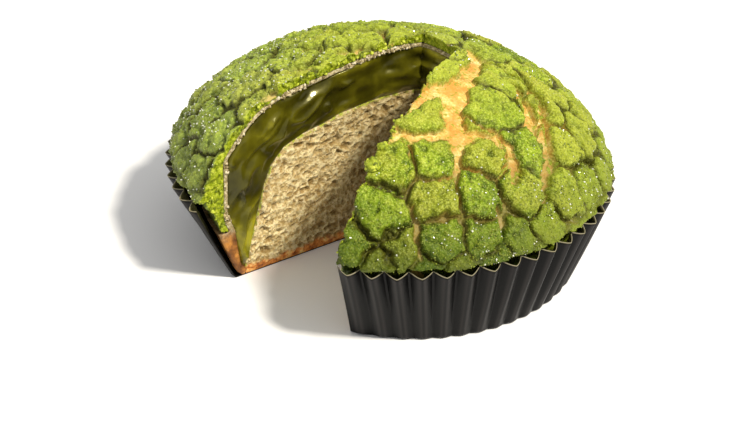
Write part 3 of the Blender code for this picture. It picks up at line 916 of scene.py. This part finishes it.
creamLook = {
    "rays": 80,
    "topRows": 150,
    "sideRows": 86,
    "innerSplit": 40.0,
    "underSplit": 32.0,
    "across": 40,
    "side": ((39.6, 12.2), (38.9, 8.0), (38.0, 3.6)),
    "along": 0.34,  # how fast the folds change along the layer, as a share of how fast they do across it
}


def creamFinish():
    f = Finish("custardCream")
    # the light attribute paints the cream lighter on its fold ridges and low down: painted light
    tone = f.weighed((f.noise(6.0, 3.0, 0.5), 0.62), (f.attribute("light"), 0.38))
    custard = ((0.30, (34, 32, 2)), (0.46, (56, 53, 5)), (0.60, (86, 82, 12)), (0.72, (148, 141, 32)))
    normal = f.bump(f.noise(1.1, 2.0, 0.4), 0.12, 0.2)
    gloss = {"Roughness": 0.28, "Specular_IOR_Level": 0.36, "Specular_Tint": (0.9, 0.85, 0.4, 1.0)}
    colour, glow = f.ramp(tone, *custard), (0.1, (0.9, 0.9, 0.2))
    return f.finished(colour, normal, glow, Coat_Weight=0.2, Coat_Roughness=0.06, **gloss)


def makeCream():
    # the layer between skin and crumb; its cut walls carry broad swells and sharp-lipped folds that follow
    # the arc
    look = creamLook
    start, along, _ = rayFan(look["rays"])
    inset = bun["crustThick"] + bun["skinThick"] - 0.1
    most = bun["creamRadius"] + 0.1
    top = innerSheet(inset, start, along, look, bun["creamFoot"], most, look["side"])
    profile = crumbLook["profile"][:-1] + ((37.1, 2.6),)
    under = profileSheet(start, along, profile, look["underSplit"], look["sideRows"], look["topRows"], 0.1)
    points, place, quads = slab(top, under, look["across"])
    onCut = cutShare(place, look["rays"])
    depth = place[:, 2] / look["across"]
    fade = np.sin(np.pi * np.clip(depth, 0.0, 1.0)) ** 0.6 * onCut
    thick = np.linalg.norm(top - under, axis=-1)[place[:, 0], place[:, 1]]
    fade *= smoothStep(0.0, 4.0, thick)

    reach = np.hypot(points[:, 0], points[:, 1])
    turn = np.arctan2(points[:, 2] - 2.0, reach)
    ring = np.hypot(reach, (points[:, 2] - 2.0) * 1.2)
    flow = np.stack([turn * 38.0 * look["along"], ring, points[:, 0] * 0.25], axis=-1)
    flow = flow + 1.7 * wander(points, 7.0, 101, 2)
    swell = layeredNoise(points, 8.0, 105, 2, 0.5)
    fold = 1.0 - 2.2 * np.abs(layeredNoise(flow, 3.4, 107, 2, 0.35))
    lip = np.maximum(1.0 - 3.0 * np.abs(softNoise(flow * [1.6, 1.0, 1.0], 2.6, 109)), 0.0) ** 1.5
    lip *= smoothStep(0.1, 0.6, softNoise(points, 5.0, 111))
    push = fade * (0.2 + 1.7 * swell + 1.0 * fold + 1.0 * lip) - 0.35 * onCut * (1.0 - fade)
    points = points + meshNormals(points, quads) * push[:, None]
    # painted light: pale is higher on the fold ridges and lower down, where the cream catches light
    pale = np.clip(0.36 + 0.35 * fold + 0.85 * smoothStep(22.0, 10.0, points[:, 2]), 0.0, 1.0)
    fitted(makeObject("cream_layer", points, quads, creamFinish(), {"light": pale}), "cream", "cream")


makeCream()


caseLook = {
    "perPleat": 14,
    "floorRows": 10,
    "bendRows": 5,
    "wallRows": 24,
    "thick": 0.13,
    "around": 316.6,
    "up": 0.05,  # height of the paper's outer face at the base
    "toe": 1.2,  # how far inside the base radius the bend to the wall starts
    "bend": {"out": 1.25, "up": 1.6, "turn": 0.7},
}


def caseFinish():
    f = Finish("blackBakingPaper")
    # painted light and shade: the paper blackest in the inner creases, with a lighter band beside each outer
    # fold where it catches light
    foldShadeAndSheen = ((0.2, (1, 1, 1)), (0.62, (3, 3, 3)), (0.86, (34, 31, 30)), (1.0, (6, 6, 6)))
    outside = f.ramp(f.attribute("fold"), *foldShadeAndSheen)
    greasy = f.mix(f.remap(f.along("Z"), 0.012, 0.019), (22, 21, 18), (88, 84, 54))
    body = f.mix(f.attribute("inner"), outside, greasy)
    body = f.coats(body, (f.attribute("rim"), 0.7, 1.0, 0.0, 0.9, (150, 142, 114)))
    normal = f.bump(f.noise(0.25, 3.0, 0.6), 0.10, 0.05)
    return f.finished(body, normal, Roughness=0.4, Specular_IOR_Level=0.12)


def makeCase():
    # a disc, a small bend and a wall of triangular folds that deepen towards the rim, carried round the case
    look, up, bend = caseLook, caseLook["up"], caseLook["bend"]
    rays = int(round(look["around"] / 360 * bun["pleats"] * look["perPleat"])) + 1
    start, along, azimuth = rayFan(rays)
    shift = np.array(bun["baseShift"])
    turn = np.radians(azimuth)
    outward = np.stack([np.sin(turn), -np.cos(turn)], axis=-1)
    wave = -np.cos(np.radians(azimuth * bun["pleats"]))
    # 1 at the rounded outer folds, 0 at the sharper inner ones
    fold = 0.45 * (1.0 - np.arccos(np.clip(wave, -1.0, 1.0)) / math.pi) + 0.55 * np.sqrt(0.5 + 0.5 * wave)
    line = np.stack([azimuth * 0.12, azimuth * 0, azimuth * 0], axis=-1)
    sway, uneven = layeredNoise(line, 1.0, 111, 2), layeredNoise(line, 0.8, 113, 2)

    def ring(radius, height, depth, rise):
        away = radius - depth * (1.0 - fold)
        z = height + rise * (1.0 - fold)
        share = 1.0 - np.clip(z / bun["rimHeight"], 0.0, 1.0)
        return np.concatenate([outward * away[:, None] + shift * share[:, None], z[:, None]], axis=-1)

    rows = []
    toe = bun["baseRadius"] - look["toe"]
    baseRing = ring(toe, up, bun["pleatBase"] * 0.4, 0.0)
    for step in np.linspace(0.0, 1.0, look["floorRows"], endpoint=False):
        flat = start + (baseRing[:, :2] - start) * step
        rows.append(np.concatenate([flat, np.full((rays, 1), up)], axis=-1))
    for step in np.linspace(0.0, 1.0, look["bendRows"], endpoint=False):
        angle = step * 0.5 * math.pi * bend["turn"]
        radius, height = toe + bend["out"] * math.sin(angle), up + bend["up"] * (1 - math.cos(angle))
        rows.append(ring(radius, height, bun["pleatBase"] * (0.4 + 0.6 * step), 0.0))
    for step in np.linspace(0.0, 1.0, look["wallRows"]):
        radius = bun["baseRadius"] + (bun["rimRadius"] - bun["baseRadius"]) * step - 0.05
        depth = bun["pleatBase"] + (bun["pleatRim"] - bun["pleatBase"]) * step
        depth = depth * (1.0 + 0.12 * uneven * step)
        height = 1.0 + (bun["rimHeight"] - 1.0) * step - 0.25 * step * np.maximum(uneven, 0.0)
        rows.append(ring(radius + sway * step * (1 - step), height, depth, bun["pleatRise"] * step))
    outer = snapToCuts(np.stack(rows, axis=1))
    normals = gridNormals(outer)
    normals *= -np.sign(np.mean(normals[:, : look["floorRows"] - 2, 2]))  # pointing down and out
    inner = snapToCuts(outer - normals * look["thick"])
    points, place, quads = slab(outer, inner, 1)
    inside, rim = place[:, 2] == 1, place[:, 1] == outer.shape[1] - 1
    marks = {"inner": inside.astype(float), "rim": rim.astype(float), "fold": fold[place[:, 0]]}
    fitted(makeObject("pleated_case", points, quads, caseFinish(), marks), "case", "paper_case")


makeCase()


def scattered(name, shape, shapeQuads, centres, sizes, turns, finish, values, smooth=False):
    # one mesh of many copies of a small shape: each is scaled, turned by its own matrix and moved
    corners = shape.shape[-2]
    points = np.einsum("nij,nkj->nki", turns, np.broadcast_to(shape, (len(centres), corners, 3)))
    points = points * sizes[:, None, :] + centres[:, None, :]
    quads = shapeQuads[None] + (np.arange(len(centres)) * corners)[:, None, None]
    marks = {key: np.repeat(value, corners) for key, value in values.items()}
    return makeObject(name, points.reshape(-1, 3), quads.reshape(-1, 4), finish, marks, smooth=smooth)


def randomTurns(rng, count):
    # random rotations from unit quaternions
    w, x, y, z = unit(rng.normal(size=(count, 4))).T
    rows = (
        (1 - 2 * (y * y + z * z), 2 * (x * y - z * w), 2 * (x * z + y * w)),
        (2 * (x * y + z * w), 1 - 2 * (x * x + z * z), 2 * (y * z - x * w)),
        (2 * (x * z - y * w), 2 * (y * z + x * w), 1 - 2 * (x * x + y * y)),
    )
    return np.stack([np.stack(row, axis=-1) for row in rows], axis=1)


def latticeBox(steps):
    # the surface of a cube with each face in steps x steps squares
    line = np.linspace(-1.0, 1.0, steps + 1)
    x, y = np.meshgrid(line, line, indexing="ij")
    upper, lower = (np.stack([x, y, np.full(x.shape, z)], axis=-1) for z in (1.0, -1.0))
    points, _, quads = slab(upper, lower, steps)
    return points, quads


sugarLook = {
    "count": 6200,
    "small": 0.11,
    "large": 0.30,
    "seed": 12,
    "brightShare": 0.09,
    "leftShare": 0.16,
    "lowest": 20.5,
}


def sugarFinish():
    f = Finish("sugarGrain")
    body = f.mix(f.attribute("bright"), (140, 150, 54), (236, 238, 214))
    normal = f.bump(f.noise(0.2, 2.0), 0.3, 0.03)
    return f.finished(body, normal, Roughness=0.14, Transmission_Weight=0.25, IOR=1.5)


def makeSugar():
    # small cubes set on the plates, most of them on the lower front and the left, where the glaze held them
    look, count = sugarLook, sugarLook["count"]
    rng = np.random.default_rng(look["seed"])
    x, y, z = crustGrid[..., 0], crustGrid[..., 1], crustGrid[..., 2]
    plate = crustMarks["plate"] * (crustMarks["golden"] < 0.2)
    rayGap = np.abs(np.gradient(crustAzimuth))[:, None] * np.linalg.norm(crustGrid[..., :2], axis=-1)
    rowGap = np.linalg.norm(np.gradient(crustGrid, axis=1), axis=-1)
    weight = rayGap * rowGap * smoothStep(0.25, 0.8, plate) * (z > look["lowest"])
    front = smoothStep(10.0, -30.0, y) * smoothStep(40.0, 28.0, z)
    left = smoothStep(-8.0, -26.0, x)
    weight = weight * (0.3 + smoothStep(-0.2, 0.5, softNoise(crustGrid, 7.0, 123)))
    weight = weight * (0.35 + 1.6 * np.maximum(front, left))
    pick = rng.choice(weight.size, count, replace=False, p=(weight / weight.sum()).ravel())
    sizes = rng.uniform(look["small"], look["large"], (count, 1)) * 0.5
    sizes = sizes * rng.uniform(0.8, 1.2, (count, 3))
    outward = outwardNormals(crustGrid).reshape(-1, 3)[pick]
    centres = crustGrid.reshape(-1, 3)[pick] + outward * sizes.max(axis=1, keepdims=True) * 0.5
    cube, faces = latticeBox(1)
    turns = randomTurns(rng, count)
    limit = look["brightShare"] + look["leftShare"] * left.ravel()[pick]
    bright = {"bright": (rng.uniform(size=count) < limit).astype(float)}
    fitted(scattered("sugar_grains", cube, faces, centres, sizes, turns, sugarFinish(), bright), "crust")


makeSugar()


bitsLook = {
    "cookieCount": 240,
    "breadCount": 520,
    "seed": 31,
    "clusters": ((-1, 34.6, 1.5, 130), (-1, 29.6, 0.9, 30)),  # ray, radius on the edge, spread, how many
    "sides": ((0, leftAlong, 0.62, -1.0), (-1, rightAlong, 0.38, 1.0)),  # ray, direction, share, way out
}


def bitsFinish(name, dark, middle, light):
    f = Finish(name)
    tone = f.weighed((f.noise(0.9, 4.0, 0.6), 0.6), (f.attribute("own"), 0.4))
    body = f.ramp(tone, (0.32, dark), (0.5, middle), (0.68, light))
    normal = f.bump(f.noise(0.25, 4.0, 0.7), 0.6, 0.12)
    return f.finished(body, normal, (0.15, (0.8, 0.9, 0.3)), Roughness=0.65)


def alongCuts(rng, count, nearEdge, farEdge, lowest, gather, seed):
    # places on the two long cut walls between two of the layers' edges, gathered into clumps by a noise
    picked = []
    for row, along, share, way in bitsLook["sides"]:
        side = np.array([along[1], -along[0], 0.0]) * way
        most = int(count * share)
        place = rng.uniform(size=most * 8)
        across = rng.uniform(size=most * 8)[:, None]
        lines = []
        for edge in (nearEdge[row], farEdge[row]):
            length = lengthAlong(edge)
            low = edge[:, 2] < lowest
            reach = place * (length[np.argmax(low)] if np.any(low) else length[-1])
            lines.append(np.stack([np.interp(reach, length, edge[:, axis]) for axis in range(3)], axis=-1))
        spots = lines[0] * (1.0 - across) + lines[1] * across
        clump = smoothStep(gather, gather + 0.7, layeredNoise(spots, 2.6, seed, 2))
        spots = spots[rng.uniform(size=most * 8) < clump][:most]
        picked.append(spots + side * rng.uniform(-0.1, 0.35, (len(spots), 1)))
    return np.concatenate(picked)


def makeBits(name, centres, widths, finish, slotName, rng):
    # rough little balls, each with its own dents, joined into crumbs where they overlap
    ball, quads = latticeBox(3)
    count = len(centres)
    shapes = unit(ball)[None] * rng.uniform(0.6, 1.25, (count, len(ball), 1))
    sizes = widths[:, None] * rng.uniform(0.7, 1.3, (count, 3)) * 0.5
    own = {"own": rng.uniform(size=count)}
    turns = randomTurns(rng, count)
    fitted(scattered(name, shapes, quads, centres, sizes, turns, finish, own, smooth=True), slotName)


def makeAllBits():
    # crumbs of the crust and of the bread along the long cut walls, and two clumps of green ones on an edge
    look = bitsLook
    rng = np.random.default_rng(look["seed"])
    green = alongCuts(rng, look["cookieCount"], crustGrid, crustUnder, 14.0, -0.35, 131)
    widths = rng.uniform(0.3, 0.9, len(green))
    for ray, radius, spread, count in look["clusters"]:
        reach = np.linalg.norm(crustGrid[ray, :, :2], axis=-1)
        spot = crustGrid[ray, np.argmin(np.abs(reach - radius))]
        offset = rng.normal(size=(count, 3)) * spread * 0.5
        length = np.linalg.norm(offset, axis=1, keepdims=True)
        offset *= np.minimum(1.0, 0.75 * spread / length)  # none stands apart from its clump
        green = np.concatenate([green, spot + offset])
        widths = np.concatenate([widths, rng.uniform(0.6, 1.6, count)])
    finish = bitsFinish("cookieCrumb", (92, 104, 0), (142, 156, 10), (192, 200, 60))
    makeBits("cookie_crumbs", green, widths, finish, "crust", rng)
    beige = alongCuts(rng, look["breadCount"], skinTop, skinUnder, 15.0, -0.25, 133)
    finish = bitsFinish("breadCrumb", (120, 104, 62), (182, 164, 118), (228, 216, 180))
    makeBits("torn_bread", beige, rng.uniform(0.3, 0.75, len(beige)), finish, "bread", rng)


makeAllBits()


stageLook = {
    "floorHalf": 4000.0,
    "floorLevel": -0.02,
    "floorColour": (246, 245, 243),
    "worldColour": (1.0, 1.0, 1.0, 1.0),
    "world": 0.62,
    "key": 4.2,
    "keyColour": (1.0, 0.95, 0.86),
    "keyFrom": (0.5, -0.32, 0.8),
    "keyAngle": 9.0,
    "lens": 105.94,
    "camera": (0.0, -0.42857, 0.25754),
    "right": (0.99837, 0.0294, 0.04892),
    "up": (-0.05707, 0.51424, 0.85575),
    "forward": (0.0, 0.85714, -0.51508),
    "photo": (750.0, 422.0),
    "originPixel": (386.30, 236.78),
}


def makeStage():
    # a pale floor, soft white light from all round, a warm sun and the photograph's camera
    look = stageLook
    signs = np.array([(-1, -1), (1, -1), (1, 1), (-1, 1)])
    corners = np.concatenate([signs * look["floorHalf"], np.full((4, 1), look["floorLevel"])], axis=1)
    f = Finish("paleFloor")
    f.shader.inputs["Base Color"].default_value = (*linear(look["floorColour"]), 1.0)
    f.shader.inputs["Roughness"].default_value = 0.9
    makeObject("floor", corners, np.array([[0, 1, 2, 3]]), f.material, smooth=False)

    scene = bpy.context.scene
    scene.view_settings.view_transform = "Standard"
    world = bpy.data.worlds.new("softWhite")
    world.use_nodes = True
    background = world.node_tree.nodes["Background"]
    background.inputs["Color"].default_value = look["worldColour"]
    background.inputs["Strength"].default_value = look["world"]
    scene.world = world

    light = bpy.data.lights.new("key", "SUN")
    light.angle = math.radians(look["keyAngle"])
    light.energy = look["key"]
    light.color = look["keyColour"]
    lamp = bpy.data.objects.new("key", light)
    lamp.rotation_euler = Vector(look["keyFrom"]).to_track_quat("Z", "Y").to_euler()
    scene.collection.objects.link(lamp)

    camera = bpy.data.cameras.new("photoCamera")
    camera.sensor_width = 36.0
    camera.lens = look["lens"]
    camera.clip_start = 0.01
    camera.clip_end = 20.0
    wide, tall = look["photo"]
    camera.shift_x = (0.5 * wide - look["originPixel"][0]) / wide
    camera.shift_y = (look["originPixel"][1] - 0.5 * tall) / wide
    holder = bpy.data.objects.new("photoCamera", camera)
    scene.collection.objects.link(holder)
    right, up, forward = look["right"], look["up"], look["forward"]
    turn = Matrix([[right[i], up[i], -forward[i]] for i in range(3)]).to_4x4()
    holder.matrix_world = Matrix.Translation(look["camera"]) @ turn
    scene.camera = holder


makeStage()
print("stage ready")
